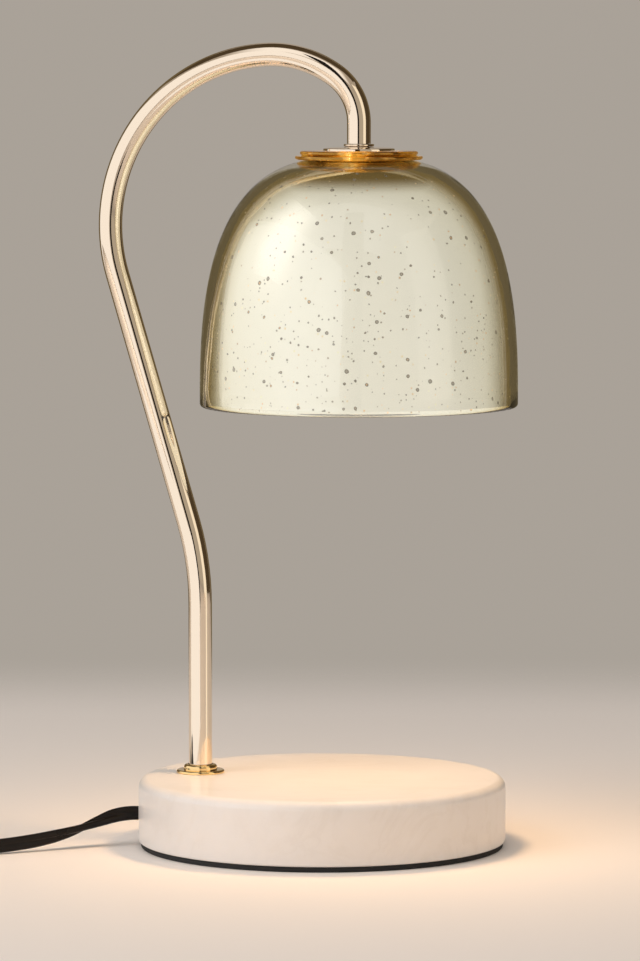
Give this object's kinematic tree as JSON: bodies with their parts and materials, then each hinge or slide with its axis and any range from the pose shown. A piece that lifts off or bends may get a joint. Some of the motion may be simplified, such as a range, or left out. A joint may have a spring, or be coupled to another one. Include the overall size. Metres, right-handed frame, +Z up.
{
  "type": "candle warmer lamp",
  "caption": "Table lamp with a round marble foot, a bent tube arm and a silvered glass bell shade whose reflector bulb warms a candle standing on the foot.",
  "frame": {"origin": "centre of the round foot's underside, on the table", "axes": "+Z up; the arm lies in the XZ plane, rises on the -X side and carries the shade towards +X; the cord leaves the foot on the -X side"},
  "size_m": [0.3374, 0.1789, 0.3163],
  "materials": {
    "pad": "matte black non-slip sheet",
    "marble": "polished white marble with faint warm veins",
    "bushing": "satin black",
    "brass": "polished pale gold plating",
    "steel": "zinc plated",
    "amber_glass": "clear amber, polished",
    "mirror_glass": "silvered inside with worn specks, champagne tint, polished",
    "fibre": "pressed fibre",
    "ceramic": "unglazed white",
    "bronze": "spring bronze",
    "reflector": "silvered glass",
    "clear_glass": "clear, polished",
    "wire_live": "sleeved wire",
    "wire_neutral": "sleeved wire",
    "crimp": "satin",
    "cord": "satin black flat twin flex",
    "moulding": "fine satin black",
    "wheel": "ribbed black",
    "board": "lacquered circuit board",
    "blade": "bright"
  },
  "bodies": {
    "lamp": {"base_pad": "pad", "marble_base": "marble", "cord_bushing": "bushing", "arm_flange": "brass", "arm_tube": "brass", "base_nipple": "steel", "base_washer": "steel", "base_lock_washer": "steel", "base_nut": "steel", "crown_nipple": "steel", "tube_ring": "brass", "canopy_washer": "brass", "glass_collar": "amber_glass", "shade": "mirror_glass", "shade_gasket": "fibre", "crown_washer": "steel", "crown_nut": "steel", "socket_bracket": "steel", "bracket_nut": "steel", "lamp_socket": "ceramic", "inner_cord": "cord", "lead_wire_live": "wire_live", "cord_core_live": "wire_live", "crimp_cap_live": "crimp", "socket_contact_live": "bronze", "lead_wire_neutral": "wire_neutral", "cord_core_neutral": "wire_neutral", "crimp_cap_neutral": "crimp", "socket_contact_neutral": "bronze", "bracket_screw_1": "steel", "bracket_screw_2": "steel", "dimmer_lower_case": "moulding", "dimmer_upper_case": "moulding", "dimmer_axle": "steel", "dimmer_board": "board", "case_screw_1": "steel", "case_screw_2": "steel", "plug_body": "moulding", "plug_blade_1": "blade", "plug_blade_2": "blade", "cord_lead": "cord", "cord_link": "cord", "cord_coil": "cord", "cord_tail": "cord"},
    "bulb": {"bulb_reflector": "reflector", "bulb_lens": "clear_glass", "bulb_capsule": "clear_glass", "bulb_cap": "ceramic", "bulb_pin_1": "steel", "bulb_pin_2": "steel"},
    "dimmer_wheel": {"dimmer_wheel": "wheel"}
  },
  "joints": [
    {"name": "bulb_twist", "type": "hinge", "parent": "lamp", "child": "bulb", "pos_m": [0.01467, 0, 0.23271], "axis": [0, 0, -1], "range_deg": [0, 30]},
    {"name": "dimmer_turn", "type": "hinge", "parent": "lamp", "child": "dimmer_wheel", "pos_m": [-0.23129, -0.05638, 0.0105], "axis": [0.9659, 0.2588, 0], "range_deg": [0, 270]}
  ]
}
